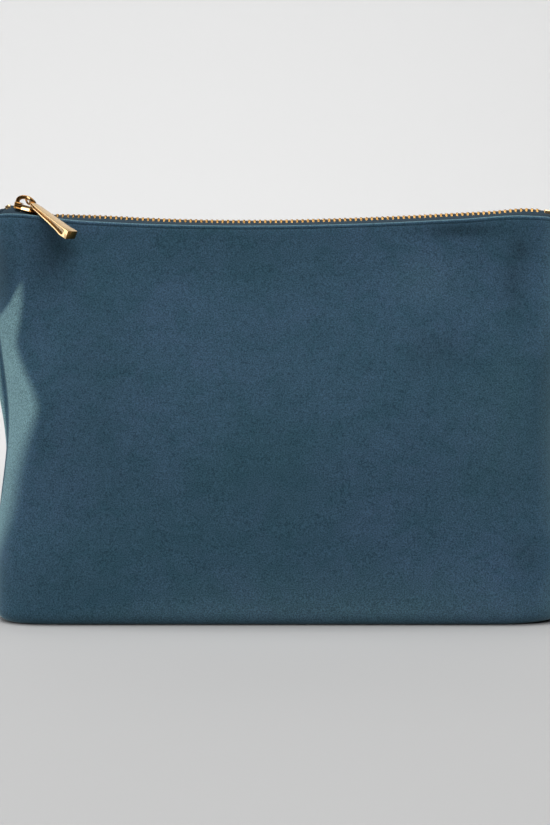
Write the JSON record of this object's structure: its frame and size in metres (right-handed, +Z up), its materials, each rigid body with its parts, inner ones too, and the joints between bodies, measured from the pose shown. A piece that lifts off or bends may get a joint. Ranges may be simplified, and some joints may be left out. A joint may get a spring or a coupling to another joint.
{
  "type": "zippered_pouch",
  "caption": "Small free-standing pouch of blue-grey velvet with padded walls, a plain lining and a brass zip along the top edge, shown closed with its pull hanging over the front",
  "frame": {"origin": "On the floor under the middle of the pouch", "axes": "+X along the zip from the closed end's slider towards its bottom stop, +Y from the front to the back, +Z up"},
  "size_m": [0.248, 0.0456, 0.1836],
  "materials": {
    "velvet": "short cotton velvet, blue-grey, with a soft sheen at grazing angles",
    "padding": "off-white needled fleece interlining",
    "lining": "plain woven lining, dark blue",
    "tape": "woven zip tape, slate blue",
    "thread": "spun sewing thread, dark blue",
    "brass": "polished yellow brass"
  },
  "bodies": {
    "pouch": {"back_panel": "velvet", "back_padding": "padding", "back_lining": "lining", "left_side_seam": "thread", "right_side_seam": "thread", "bottom_seam": "thread", "back_topstitch": "thread", "back_zip_tape": "tape", "back_teeth": "brass", "back_top_stop": "brass", "bottom_stop": "brass", "left_end_tab": "tape", "right_end_tab": "tape"},
    "front_wall": {"front_panel": "velvet", "front_padding": "padding", "front_lining": "lining", "front_topstitch": "thread", "front_zip_tape": "tape", "front_teeth": "brass", "front_top_stop": "brass"},
    "slider": {"slider_body": "brass"},
    "pull": {"pull_tab": "brass"}
  },
  "joints": [
    {"name": "slider_run", "type": "slide", "parent": "pouch", "child": "slider", "axis": [1, 0, 0], "range_m": [0, 0.216], "deforming": ["back_teeth"]},
    {"name": "mouth_opening", "type": "hinge", "parent": "pouch", "child": "front_wall", "pos_m": [0, -0.014, 0], "axis": [1, 0, 0], "range_deg": [0, 12.4], "deforming": ["front_panel", "front_padding", "front_lining", "front_topstitch", "front_zip_tape", "front_teeth", "front_top_stop"]},
    {"name": "pull_swing", "type": "hinge", "parent": "slider", "child": "pull", "pos_m": [-0.1097, 0, 0.181], "axis": [-1, 0, 0], "range_deg": [0, 240]}
  ],
  "couplings": [
    {"joint": "mouth_opening", "follows": "slider_run", "rad_per_m": 1}
  ]
}
